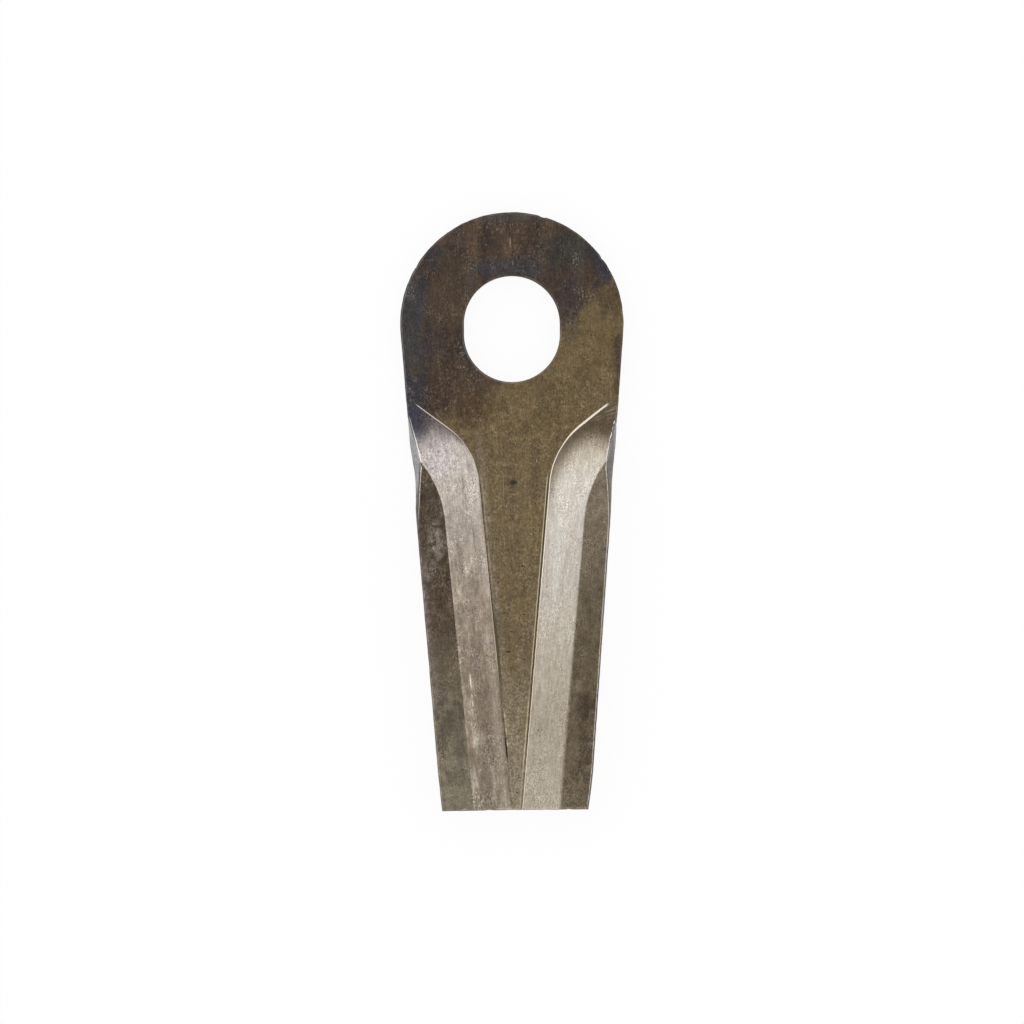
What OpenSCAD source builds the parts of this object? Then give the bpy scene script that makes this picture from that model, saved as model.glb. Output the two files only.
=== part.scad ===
// Rotary mower blade: one pressed steel plate with a round head, an oval pivot
// hole and two flutes that lift the cutting wings above the central web.
// Millimetres. The origin is the pin seat, the centre of the head arc, on the
// plane of the underside. +Y points to the round end, the tip lies at -Y, +Z is up.
// Plan points are written [x, a], with a the distance from the pin seat to the tip side.

/* [Plate] */
// diameter of the round head
head_d = 48; // [45:0.5:52]
// distance from the pin seat to the square tip
reach = 104.4; // [98:0.2:116]
// width across the tip
tip_w = 32; // [30:0.5:35]
// thickness of the plate
plate_t = 4; // [3:0.25:5]

/* [Pivot hole] */
// width of the oval hole, which takes the pivot pin
hole_w = 20.55; // [16:0.05:23]
// extra length of the oval hole over its width
hole_play = 2.2; // [0.6:0.1:3]

/* [Flutes] */
// height of the wings above the web
wing_rise = 3; // [1.5:0.25:4]
// width of the slope between the web and a wing
slope_run = 8.2; // [7.6:0.1:9]
// width of the web where it runs out at the tip
web_tip_w = 2.2; // [1.4:0.1:4]
// angle of the fold lines to the long axis
fold_taper = 5.2; // [4.6:0.1:5.6]
// distance from the pin seat at which a crease leaves the side edge
shoulder_a = 15.5; // [14:0.1:16.5]
// angle of the crease to the cross direction at the shoulder
shoulder_ang = 37.4; // [35:0.2:40]
// plan radius of the crease where it turns along the blade
crease_r = 16.8; // [13:0.2:18]
// plan radius of the ridge where it turns along the blade
ridge_r = 23.4; // [20:0.2:27]
// distance from the pin seat at which the ridge runs straight
ridge_a = 42; // [40:0.2:43]
// how gently the flute rises from the crease at the shoulder
run_out = 0.6; // [0.2:0.1:1]

/* [Drawn edge] */
// distance from the pin seat at which the side edge starts to draw in
draw_a = 19.7; // [19:0.1:21]
// how far the upper edge draws in at the end of the ridge
draw_top = 1.8; // [1:0.1:2.2]
// how far the lower edge draws in
draw_bottom = 0.46; // [0.1:0.02:0.7]
// distance from the pin seat at which the edge is straight again
draw_end = 45; // [43.6:0.2:48]

/* [Crease score] */
// width of the scored line along a crease
score_w = 0.3; // [0.2:0.05:0.5]
// depth of the scored line
score_d = 0.2; // [0.1:0.05:0.4]

/* [Cutting edge] */
// width of the ground bevel under a wing
bevel_w = 5; // [3:0.1:5.4]
// thickness left at the cutting edge
edge_land = 1.1; // [0.6:0.1:2]

/* [Hardness mark] */
// distance from the pin seat to the small dimple in the web
dimple_a = 34; // [30:0.5:60]
// diameter of the dimple at the surface
dimple_d = 1.3; // [0.8:0.1:2]
// depth of the dimple
dimple_depth = 0.3; // [0.15:0.05:0.4]

/* [Hidden] */

// facets of a full circle
round_fn = 120;
// how far a cutter reaches past a face
past = 1;
// rows of the flute: flat shoulder, drawn edge, turn, ridge arc, edge run back, straight
rows_flat = 4;
rows_edge = 12;
rows_turn = 16;
rows_ridge = 8;
rows_back = 2;
rows_straight = 2;
// steps across the slope
slope_n = 8;
// power of the rise along the side edge, and of the drawn edge
rise_pow = 2;
draw_pow = 1.05;
// length over which the score fades in at the side edge
score_fade = 2.2;
// side edges, tangent to the head and ending at the tip corners
head_r = head_d / 2;
tip_x = tip_w / 2;
side_ang = atan2(reach, tip_x) - acos(head_r / norm([tip_x, reach]));
function side_x(a) = (head_r - a * sin(side_ang)) / cos(side_ang);

// straight part of a fold, then the crease: shoulder diagonal, turn, fold
web_x = web_tip_w / 2;
function fold_x(a) = web_x + (reach - a) * tan(fold_taper);
crease_0 = [side_x(shoulder_a), shoulder_a];
diag_dir = [-cos(shoulder_ang), sin(shoulder_ang)];
turn_ang = 90 - fold_taper - shoulder_ang;
diag_gain = cos(shoulder_ang) - sin(shoulder_ang) * tan(fold_taper);
diag_all = (crease_0[0] - fold_x(shoulder_a)) / diag_gain;
diag_len = diag_all - crease_r * tan(turn_ang / 2);
crease_1 = crease_0 + diag_len * diag_dir;
crease_c = crease_1 + crease_r * [sin(shoulder_ang), cos(shoulder_ang)];
function crease_arc(t) = crease_c
    - crease_r * [sin(shoulder_ang + t * turn_ang), cos(shoulder_ang + t * turn_ang)];
turn_a = crease_arc(1)[1];

// ridge between the slope and a wing, and the point where it meets the drawn edge
ridge_c = [fold_x(ridge_a) + slope_run, ridge_a] + ridge_r * [cos(fold_taper), sin(fold_taper)];
ridge_gap = ridge_c * [cos(side_ang), sin(side_ang)] - head_r + draw_top * cos(side_ang);
ridge_top = ridge_c - ridge_gap * [cos(side_ang), sin(side_ang)]
    - sqrt(ridge_r * ridge_r - ridge_gap * ridge_gap) * [-sin(side_ang), cos(side_ang)];
top_a = ridge_top[1];
function arc_x(a) = ridge_c[0] - sqrt(ridge_r * ridge_r - pow(ridge_c[1] - a, 2));
function ridge_x(a) = a < ridge_a ? arc_x(a) : fold_x(a) + slope_run;

// drawn side edge, above and below
function swell(a, a1, a2, a3) = a <= a1 || a >= a3 ? 0
    : a < a2 ? pow((a - a1) / (a2 - a1), draw_pow) : pow((a3 - a) / (a3 - a2), draw_pow);
low_1 = (draw_a + top_a) / 2;
low_3 = (ridge_a + draw_end) / 2 - 2;
low_2 = (low_1 + low_3) / 2;
function smooth(t) = t * t * (3 - 2 * t);
function edge_top(a) = side_x(a) - draw_top * swell(a, draw_a, top_a, draw_end);
function edge_low(a) = side_x(a) - draw_bottom * smooth(swell(a, low_1, low_2, low_3));

// bevel under a wing, faded in behind the shoulder
wing_w = side_x(ridge_a) - ridge_x(ridge_a);
function fade(a) = min(1, max(0, (a - top_a) / (ridge_a - top_a)));

// one row of the flute: crease point, outer end of the slope, outline distance, rise, run-out
function edge_row(a) = [
    crease_0 + diag_len * (a - shoulder_a) / (top_a - shoulder_a) * diag_dir,
    [edge_top(a), a],
    wing_rise * pow((a - shoulder_a) / (top_a - shoulder_a), rise_pow),
    run_out
];
function turn_row(t) = let (a = top_a + (turn_a - top_a) * t) [
    crease_arc(t),
    [ridge_x(a), a],
    wing_rise,
    run_out * (1 - smooth(t))
];
function fold_row(a) = [[fold_x(a), a], [ridge_x(a), a], wing_rise, 0];
rows = concat(
    [for (i = [0 : rows_flat - 1]) edge_row(shoulder_a + (draw_a - shoulder_a) * i / rows_flat)],
    [for (i = [0 : rows_edge]) edge_row(draw_a + (top_a - draw_a) * i / rows_edge)],
    [for (i = [1 : rows_turn]) turn_row(i / rows_turn)],
    [for (i = [1 : rows_ridge]) fold_row(turn_a + (ridge_a - turn_a) * i / rows_ridge)],
    [for (i = [1 : rows_back]) fold_row(ridge_a + (draw_end - ridge_a) * i / rows_back)],
    [for (i = [1 : rows_straight]) fold_row(draw_end + (reach - draw_end) * i / rows_straight)]
);
last_row = len(rows) - 1;
// rows at which the lower lip and the wing start, each from a single point
lip_row = rows_flat;
wing_row = rows_flat + rows_edge;
// columns: three for the score, the slope, the bevel line and the edge
col_b = 2 + slope_n;
col_k = col_b + 1;
col_e = col_b + 2;
cols = col_e + 1;

// share of the wing rise reached at the fraction v of the slope
function lift(v, e) = (sqrt(v * v + e * e) - e) / (sqrt(1 + e * e) - e);
// plan position along a row, and how deep the score is there
function along(r, v) = r[0] + v * (r[1] - r[0]);
function score_v(r) = score_w / 2 / norm(r[1] - r[0]);
function score_at(r) = score_d * smooth(min(1, norm(r[0] - crease_0) / score_fade));

function slope_pt(r, v, z) = concat(along(r, v), z + r[2] * lift(max(v, 0), r[3]));
function edge_z(a) = (plate_t - edge_land) * smooth(fade(a));
function bevel_x(r) = edge_low(r[1][1])
    - bevel_w * (edge_low(r[1][1]) - r[1][0]) / wing_w;
function wing_top(r) = [
    [(r[1][0] + edge_top(r[1][1])) / 2, r[1][1], plate_t + r[2]],
    [edge_top(r[1][1]), r[1][1], plate_t + r[2]]
];
function wing_low(r) = [
    [bevel_x(r), r[1][1], r[2]],
    [edge_low(r[1][1]), r[1][1], r[2] + edge_z(r[1][1])]
];
function row_top(r) = let (s = norm(r[1] - r[0]) > 0 ? score_v(r) : 0) concat(
    [slope_pt(r, -s, plate_t)],
    [slope_pt(r, 0, plate_t - score_at(r))],
    [slope_pt(r, s, plate_t)],
    [for (k = [1 : slope_n]) slope_pt(r, k / slope_n, plate_t)],
    wing_top(r)
);
function row_low(r) = let (s = norm(r[1] - r[0]) > 0 ? score_v(r) : 0) concat(
    [slope_pt(r, -s, 0)],
    [slope_pt(r, 0, 0)],
    [slope_pt(r, s, 0)],
    [for (k = [1 : slope_n]) slope_pt(r, k / slope_n, 0)],
    wing_low(r)
);
function placed(p, side) = [side * p[0], -p[1], p[2]];

// points of the right and left half, upper then lower surface
body_pts = [
    for (side = [1, -1]) for (low = [0, 1]) for (r = rows)
        for (p = low == 0 ? row_top(r) : row_low(r)) placed(p, side)
];
function pt_id(half, low, i, j) = ((half * 2 + low) * len(rows) + i) * cols + j;
function closed(low, i, j) = j > col_b && i <= (low == 0 ? wing_row : lip_row);
function pt(half, low, i, j) = i == 0 ? pt_id(half, low, 0, 0)
    : closed(low, i, j) ? pt_id(half, low, i, col_b) : pt_id(half, low, i, j);

// four corners as two triangles, turned over when asked, without empty ones
function turned(f, over) = over ? [f[2], f[1], f[0]] : f;
function halves(a, b, c, d, over) = [
    for (f = [[a, b, c], [a, c, d]])
        if (f[0] != f[1] && f[1] != f[2] && f[0] != f[2]) turned(f, over)
];
skin = [
    for (h = [0, 1]) for (l = [0, 1]) for (i = [0 : last_row - 1]) for (j = [0 : cols - 2])
        each halves(pt(h, l, i, j), pt(h, l, i, j + 1), pt(h, l, i + 1, j + 1),
            pt(h, l, i + 1, j), (h + l) % 2 == 1)
];
web_skin = [
    for (l = [0, 1]) for (i = [0 : last_row - 1])
        each halves(pt(1, l, i, 0), pt(0, l, i, 0), pt(0, l, i + 1, 0),
            pt(1, l, i + 1, 0), l == 1)
];
side_skin = [
    for (h = [0, 1]) for (i = [0 : last_row - 1])
        each halves(pt(h, 0, i + 1, col_e), pt(h, 0, i, col_e), pt(h, 1, i, col_e),
            pt(h, 1, i + 1, col_e), h == 1)
];
tip_skin = [
    for (h = [0, 1]) for (j = [0 : cols - 2])
        each halves(pt(h, 0, last_row, j), pt(h, 0, last_row, j + 1),
            pt(h, 1, last_row, j + 1), pt(h, 1, last_row, j), h == 1)
];
tip_web = halves(pt(1, 0, last_row, 0), pt(0, 0, last_row, 0),
    pt(0, 1, last_row, 0), pt(1, 1, last_row, 0), false);
root_skin = halves(pt(0, 0, 0, 0), pt(1, 0, 0, 0), pt(1, 1, 0, 0), pt(0, 1, 0, 0), false);
body_faces = concat(skin, web_skin, side_skin, tip_skin, tip_web, root_skin);

// ball that leaves the dimple
ball_r = (dimple_d * dimple_d / 4 + dimple_depth * dimple_depth) / (2 * dimple_depth);

// round head down to the shoulder, with the straight start of the side edges
module head() {
    tangent = head_r * [cos(side_ang), -sin(side_ang)];
    union() {
        intersection() {
            cylinder(h = plate_t, r = head_r, $fn = round_fn);
            translate([-head_d, -shoulder_a, 0])
                cube([2 * head_d, 2 * head_d, plate_t]);
        }
        linear_extrude(height = plate_t)
            polygon([
                [-tangent[0], tangent[1]],
                [-crease_0[0], -shoulder_a],
                [crease_0[0], -shoulder_a],
                [tangent[0], tangent[1]]
            ]);
    }
}

// web, flutes and wings
module fluted_body() {
    polyhedron(points = body_pts, faces = body_faces, convexity = 6);
}

// oval hole for the pivot pin
module pivot_hole() {
    hole_r = hole_w / 2;
    deep = plate_t + 2 * past;
    translate([0, 0, -past])
        cylinder(h = deep, r = hole_r, $fn = round_fn);
    translate([0, -hole_play, -past])
        cylinder(h = deep, r = hole_r, $fn = round_fn);
    translate([-hole_r, -hole_play, -past])
        cube([hole_w, hole_play, deep]);
}

// small round mark in the web
module dimple() {
    translate([0, -dimple_a, plate_t - dimple_depth + ball_r])
        sphere(r = ball_r, $fn = round_fn);
}

// the whole blade, one pressed plate
module blade() {
    color([0.42, 0.38, 0.32])
        difference() {
            union() {
                head();
                fluted_body();
            }
            pivot_hole();
            dimple();
        }
}

blade();
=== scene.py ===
"""Looks of the rotary mower blade: a fine mesh of the pressed plate and its worn steel."""

import math
from functools import partial, reduce
from types import SimpleNamespace

import bpy
import numpy as np
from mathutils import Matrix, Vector, noise


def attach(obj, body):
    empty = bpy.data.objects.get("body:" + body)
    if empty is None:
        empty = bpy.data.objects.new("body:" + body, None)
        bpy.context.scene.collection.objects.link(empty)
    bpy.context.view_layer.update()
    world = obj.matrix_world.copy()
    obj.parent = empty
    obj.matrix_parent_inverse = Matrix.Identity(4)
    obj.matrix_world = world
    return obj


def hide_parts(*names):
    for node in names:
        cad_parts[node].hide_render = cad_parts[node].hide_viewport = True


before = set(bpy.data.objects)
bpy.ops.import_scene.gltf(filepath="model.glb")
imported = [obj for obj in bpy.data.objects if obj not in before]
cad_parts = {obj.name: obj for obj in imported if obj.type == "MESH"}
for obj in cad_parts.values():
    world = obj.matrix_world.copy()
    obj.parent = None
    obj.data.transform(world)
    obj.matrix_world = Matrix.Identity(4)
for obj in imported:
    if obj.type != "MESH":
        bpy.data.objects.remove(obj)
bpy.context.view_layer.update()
MM = 0.001

# Sizes of the plate in millimetres, as in the solid. A plan point is (x, a): a runs from
# the pin seat towards the tip, so y = -a.
# head radius, length from pin seat to tip, half width of the tip, thickness
HEAD_R, REACH, TIP_X, PLATE_T = 24.0, 104.4, 16.0, 4.0
# radius of the hole's ends, distance between their centres
HOLE_R, HOLE_PLAY = 10.275, 2.2
# rise of the wings, run of the slopes, half width of the web at the tip, lean of the folds
RISE, RUN, WEB_X, TAPER = 3.0, 8.2, 1.1, math.radians(5.2)
# where the creases leave the sides, and at what angle
SHOULDER_A, SHOULDER = 15.5, math.radians(37.4)
# bend radii of crease and ridge, where the ridge turns straight, softness of the run-outs
CREASE_R, RIDGE_R, RIDGE_A, RUN_OUT = 16.8, 23.4, 42.0, 0.6
# drawn-in shoulders: start, depth at the upper and the lower edge, end
DRAW_A, DRAW_TOP, DRAW_LOW, DRAW_END = 19.7, 1.8, 0.46, 45.0
# the lower edge's curve, and how much sooner it ends
LOW_POWER, LOW_SOONER = 1.05, 2.0
# depth of the score; width of the ground bevel, run over which it starts, land it leaves
SCORE_D, BEVEL_W, BEVEL_RUN, LAND = 0.2, 5.0, 6.0, 1.1
DIMPLE_A, DIMPLE_R, DIMPLE_DEPTH = 34.0, 0.65, 0.3

# Wear and press tolerance of the photographed piece. Depths are well under a millimetre.
# press pattern: shift, run over which it starts, how late it dies away at the edges
PRESS_SHIFT, PRESS_RUN, PRESS_POWER = 0.3, 12.0, 6
# worn tip corners: depth, length, curve, share on the left
CORNER_WEAR, CORNER_LEN, CORNER_POWER, CORNER_LEFT = 0.5, 9.0, 1.6, 0.4
# skewed tip: amount, start, run
TIP_SKEW, SKEW_A, SKEW_RUN = 0.08, 90.0, 14.0
# curves of the drawn-in shoulders, the right one's share at the lower edge
DRAW_START, DRAW_STOP_LEFT, DRAW_STOP_RIGHT, DRAW_LOW_RIGHT = 0.88, 1.4, 1.75, 0.5
# where along the crease the score starts, run over which it deepens
SCORE_LEFT, SCORE_RIGHT, SCORE_FADE = 2.45, 2.7, 0.8
# wear of the ridge's top
CREST_LEFT, CREST_RIGHT = 0.02, 0.05
# faint waviness of the faces: height, pace across and along
WAVE, WAVE_X, WAVE_Y = 0.012, 0.16, 0.07
# uneven edges, fine and broad: depth and pace
FRET, FRET_PACE, SWAY, SWAY_PACE = 0.05, 0.9, 0.04, 0.25
# wear of the hole's edges, share of a nick that reaches the lower edge
HOLE_WEAR, NICK_LOW = 0.02, 0.4
# slices of the noise, one for each use
TOP_SLICE, LOW_SLICE, SWAY_SLICE, WAVE_SLICE = 9.1, 3.7, 1.3, 0.5
# edge nicks: x, a, depth, width
NICKS = [
    (6.8, -23.0, 0.28, 0.9),
    (19.5, -14.0, 0.16, 0.8),
    (-20.5, -12.5, 0.12, 1.1),
    (22.4, 21.8, 0.2, 0.7),
    (21.3, 25.2, 0.22, 0.8),
    (-18.4, 73.0, 0.12, 1.0),
    (17.8, 86.0, 0.14, 0.9),
    (11.0, 104.4, 0.16, 0.9),
    (-6.0, 104.4, 0.12, 1.4),
]

# Mesh density
# rows in each stretch of the fluted body, from the shoulder to the tip
ROWS_FLAT, ROWS_EDGE, ROWS_TURN, ROWS_RIDGE, ROWS_BACK, ROWS_STRAIGHT = 6, 24, 30, 16, 6, 58
# columns of a slope, a wing and the web
SLOPE_N, WING_N, WEB_N = 14, 8, 36
# columns beside the crease in mm, with the share of the score's depth at each
NEAR = (-0.9, -0.45, -0.16, 0.0, 0.16, 0.45)
SCORE_SHAPE = (0, 0, 0.3, 1, 0.3, 0)
# narrower slopes have their columns closer together
NARROW = 5.0
# gap beside the ridge, crisp or worn soft, most of a wing
RIDGE_STEP, WORN_STEP, STEP_SHARE = 0.14, 0.3, 0.3
# gap to the slope's other columns, beside a lip in shares of its rim
SLOPE_GAP, LIP_GAP = 0.6, 1.3
# head: rings around the hole, points along a side and round the arc, gap beside rims
RING_N, SIDE_N, ARC_N, RING_GAP = 15, 16, 132, 0.7

# Rims and walls
# rim radius of the head and the left side, the right side, the hole, the underside
EDGE_R, WORN_EDGE_R, HOLE_EDGE_R, LOW_R = 0.3, 0.44, 0.28, 0.22
# vertices of a rim in degrees, of a wall in shares of its height
RIM_STEPS, WALL_STEPS = (30, 60, 90), (0.35, 0.7)
# room for a rim, most of a face it takes, share that the radius fills
RIM_ROOM, RIM_SHARE, RIM_FILL = 0.6, 0.42, 0.75
# most of a wall that a rim takes, least height of a wall
RIM_WALL, WALL_LEAST = 0.4, 0.05
# share of the radius at the point of a lip, its growth with each row
LIP_RIM, LIP_GROWTH = 0.4, 0.12

TINY = 1e-9

# Plan curves

SIDE_ANG = math.atan2(REACH, TIP_X) - math.acos(HEAD_R / math.hypot(TIP_X, REACH))


def side_x(a):
    """Half width of the plate between its straight sides."""
    return (HEAD_R - a * math.sin(SIDE_ANG)) / math.cos(SIDE_ANG)


def fold_x(a):
    """Where the straight part of the crease lies."""
    return WEB_X + (REACH - a) * math.tan(TAPER)


def smooth(t):
    t = min(1.0, max(0.0, t))
    return t * t * (3 - 2 * t)


def pick(side, left, right):
    """One value for each half; side is -1 on the left, 1 on the right."""
    return right if side > 0 else left


CREASE_0 = np.array([side_x(SHOULDER_A), SHOULDER_A])
DIAG = np.array([-math.cos(SHOULDER), math.sin(SHOULDER)])
TURN = math.pi / 2 - TAPER - SHOULDER
DIAG_LEN = (CREASE_0[0] - fold_x(SHOULDER_A)) / (
    math.cos(SHOULDER) - math.sin(SHOULDER) * math.tan(TAPER)
) - CREASE_R * math.tan(TURN / 2)
CREASE_C = (
    CREASE_0
    + DIAG_LEN * DIAG
    + CREASE_R * np.array([math.sin(SHOULDER), math.cos(SHOULDER)])
)


def crease_arc(t):
    """The bend of the crease, from its diagonal to its straight part."""
    ang = SHOULDER + t * TURN
    return CREASE_C - CREASE_R * np.array([math.sin(ang), math.cos(ang)])


TURN_A = crease_arc(1)[1]
RIDGE_C = np.array([fold_x(RIDGE_A) + RUN, RIDGE_A]) + RIDGE_R * np.array(
    [math.cos(TAPER), math.sin(TAPER)]
)
SIDE_NORMAL = np.array([math.cos(SIDE_ANG), math.sin(SIDE_ANG)])
RIDGE_GAP = RIDGE_C @ SIDE_NORMAL - HEAD_R + DRAW_TOP * math.cos(SIDE_ANG)
TOP_A = (
    RIDGE_C[1]
    - RIDGE_GAP * math.sin(SIDE_ANG)
    - math.sqrt(RIDGE_R**2 - RIDGE_GAP**2) * math.cos(SIDE_ANG)
)
LOW_1 = (DRAW_A + TOP_A) / 2
LOW_3 = (RIDGE_A + DRAW_END) / 2 - LOW_SOONER
LOW_2 = (LOW_1 + LOW_3) / 2
WING_W = side_x(RIDGE_A) - fold_x(RIDGE_A) - RUN
BEVEL_SHARE = BEVEL_W / WING_W


def ridge_x(a):
    if a >= RIDGE_A:
        return fold_x(a) + RUN
    return RIDGE_C[0] - math.sqrt(RIDGE_R**2 - (RIDGE_C[1] - a) ** 2)


def swell(a, a1, a2, a3, start, stop):
    """From 0 at a1 up to 1 at a2 and back to 0 at a3."""
    if a <= a1 or a >= a3:
        return 0.0
    if a < a2:
        return ((a - a1) / (a2 - a1)) ** start
    return ((a3 - a) / (a3 - a2)) ** stop


def corner(a, side):
    """How far the worn tip corner draws the edge in."""
    wear = CORNER_WEAR * pick(side, CORNER_LEFT, 1.0)
    return wear * max(0.0, (a - REACH + CORNER_LEN) / CORNER_LEN) ** CORNER_POWER


def edge_top(a, side):
    stop = pick(side, DRAW_STOP_LEFT, DRAW_STOP_RIGHT)
    drawn = DRAW_TOP * swell(a, DRAW_A, TOP_A, DRAW_END, DRAW_START, stop)
    return side_x(a) - drawn - corner(a, side)


def edge_low(a, side):
    most = DRAW_LOW * pick(side, 1.0, DRAW_LOW_RIGHT)
    drawn = most * smooth(swell(a, LOW_1, LOW_2, LOW_3, LOW_POWER, LOW_POWER))
    return side_x(a) - drawn - corner(a, side)


def edge_z(a):
    """How high the ground bevel lifts the lower edge."""
    return (PLATE_T - LAND) * smooth((a - TOP_A) / (RIDGE_A - TOP_A))


def lift(v, e):
    """Share of the rise at a share v of the slope; e rounds its start."""
    v = min(1.0, max(0.0, v))
    return (math.sqrt(v * v + e * e) - e) / (math.sqrt(1 + e * e) - e)


# Rows across the fluted body: crease point, slope end, rise, run-out


def edge_row(a, side):
    t = (a - SHOULDER_A) / (TOP_A - SHOULDER_A)
    return CREASE_0 + DIAG_LEN * t * DIAG, np.array([edge_top(a, side), a]), RISE * t * t, RUN_OUT


def turn_row(t):
    a = TOP_A + (TURN_A - TOP_A) * t
    return crease_arc(t), np.array([ridge_x(a), a]), RISE, RUN_OUT * (1 - smooth(t))


def fold_row(a):
    return np.array([fold_x(a), a]), np.array([ridge_x(a), a]), RISE, 0.0


def steps(lo, hi, n):
    return [lo + (hi - lo) * (i + 1) / n for i in range(n)]


def rows_of(side):
    edges = [SHOULDER_A, *steps(SHOULDER_A, DRAW_A, ROWS_FLAT), *steps(DRAW_A, TOP_A, ROWS_EDGE)]
    folds = steps(TURN_A, RIDGE_A, ROWS_RIDGE) + steps(RIDGE_A, DRAW_END, ROWS_BACK)
    folds += steps(DRAW_END, REACH, ROWS_STRAIGHT)
    turns = [turn_row(t) for t in steps(0, 1, ROWS_TURN)]
    return [edge_row(a, side) for a in edges] + turns + [fold_row(a) for a in folds]


LIP_ROW = ROWS_FLAT
WING_ROW = ROWS_FLAT + ROWS_EDGE
# columns of the crease and the ridge, counted from the web
COL_C, COL_B = NEAR.index(0.0), len(NEAR) + SLOPE_N
COLS = COL_B + 1 + WING_N + 1

# Vertices with their surface marks

# flute, score, wall, under: shares from 0 to 1
# rim: from 0 on the face to 1 where the rounded edge has turned into the wall
# crease, ridge: distance across the fold in mm, below 0 on the inner side
# the web lies well inside the crease, and what has no ridge is far from it
INSIDE, FAR = -4.0, 9.0
MARKS = {"crease": INSIDE, "ridge": -FAR}
MARKS |= dict.fromkeys(("flute", "score", "rim", "wall", "under"), 0.0)
# distance from the crease, and along it from its start, by which the slope has its own skin
FLUTE_EDGE, FLUTE_START = 0.25, 4.0
verts, marks, faces = [], {m: [] for m in MARKS}, []


def add(x, a, z, **values):
    verts.append([x, -a, z])
    for m in MARKS:
        marks[m].append(values.get(m, MARKS[m]))
    return len(verts) - 1


def quad(a, b, c, d):
    """A face, with fewer corners where some of them are the same vertex."""
    ring = []
    for i in (a, b, c, d):
        if i not in ring:
            ring.append(i)
    if len(ring) > 2:
        faces.append(ring)


def edge_gap(width):
    """How far the last vertices of a face stay from its edge, so that the rim has room."""
    return min(RIM_ROOM, RIM_SHARE * width)


def row_distances(length, lip):
    """Distances from the crease at which a row has vertices; a lip ends in a rim, not a ridge."""
    s = min(1.0, length / NARROW)
    near = [d * s for d in NEAR]
    last = edge_gap(length) if lip else RIDGE_STEP * s
    end = length - max(SLOPE_GAP * s, LIP_GAP * last)
    return [*near, *np.linspace(near[-1], end, SLOPE_N)[1:], length - last, length]


def top_columns(i, row, side):
    """The upper surface of one half at a row, from the web side of the crease to the edge."""
    c, b, rise, e = row
    length = float(np.linalg.norm(b - c))
    u = (b - c) / length
    reach = np.linalg.norm(c - CREASE_0)
    fade = smooth((reach - pick(side, SCORE_LEFT, SCORE_RIGHT)) / SCORE_FADE)
    out = []
    for k, d in enumerate(row_distances(length, i <= WING_ROW)):
        flute = smooth(d / FLUTE_EDGE) * smooth(reach / FLUTE_START)
        z = PLATE_T + rise * lift(d / length, e)
        if k < len(NEAR):
            z -= SCORE_D * fade * SCORE_SHAPE[k]
        if k == COL_B:
            z -= pick(side, CREST_LEFT, CREST_RIGHT) * min(1.0, rise / RISE)
            if i > WING_ROW:
                flute *= 0.5
        x, a = c + d * u
        ridge = d - length if i > WING_ROW else -FAR
        out.append(add(side * x, a, z, flute=flute, crease=d, score=fade, ridge=ridge))
    if i <= WING_ROW:
        return out + [out[-1]] * (WING_N + 1)
    width = edge_top(b[1], side) - b[0]
    first = min(pick(side, RIDGE_STEP, WORN_STEP), STEP_SHARE * width)
    for f in [*np.linspace(first, width - edge_gap(width), WING_N), width]:
        out.append(add(side * (b[0] + f), b[1], PLATE_T + rise, crease=FAR, ridge=f))
    return out


def low_columns(i, row, side):
    """The underside of one half at a row, with the ground bevel."""
    c, b, rise, e = row
    length = float(np.linalg.norm(b - c))
    u = (b - c) / length
    out = []
    for d in row_distances(length, i <= LIP_ROW):
        x, a = c + d * u
        out.append(add(side * x, a, rise * lift(d / length, e), under=1.0))
    if i <= LIP_ROW:
        return out + [out[-1]] * (WING_N + 1)
    width = edge_low(b[1], side) - b[0]
    bevel = BEVEL_SHARE * width
    knee = width - bevel
    ground = smooth((b[1] - TOP_A) / BEVEL_RUN)
    for f in [0.5 * knee, *np.linspace(knee, width - edge_gap(bevel), WING_N - 1), width]:
        share = max(0.0, (f - knee) / bevel)
        flute = ground if f > knee else 0.0
        out.append(add(side * (b[0] + f), b[1], rise + edge_z(b[1]) * share, under=1.0, flute=flute))
    return out


def body_rows(columns, z, low):
    """Vertex indices of each full row, left edge to right edge. Row 0 is the line to the head."""
    right, left = rows_of(1), rows_of(-1)
    out = []
    for i in range(len(right)):
        if i == 0:
            right_half = [add(CREASE_0[0], SHOULDER_A, z, under=low)] * COLS
            left_half = [add(-CREASE_0[0], SHOULDER_A, z, under=low)] * COLS
        else:
            right_half, left_half = columns(i, right[i], 1), columns(i, left[i], -1)
        (x0, y0, _), (x1, y1, _) = verts[left_half[0]], verts[right_half[0]]
        web = [
            add(x0 + (x1 - x0) * k / WEB_N, -(y0 + (y1 - y0) * k / WEB_N), z, under=low)
            for k in range(1, WEB_N)
        ]
        out.append(left_half[::-1] + web + right_half)
    return out


def slot_point(x, a):
    """Where the ray from the slot's centre to a plan point crosses the slot's wall."""
    half = HOLE_PLAY / 2
    d = np.array([x, a - half])
    d = d / np.linalg.norm(d)
    if abs(d[0]) > TINY and abs(d[1]) * HOLE_R / abs(d[0]) <= half:
        t = HOLE_R / abs(d[0])
    else:
        t = half * abs(d[1]) + math.sqrt(HOLE_R**2 - (half * d[0]) ** 2)
    return d * t + np.array([0, half])


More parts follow.
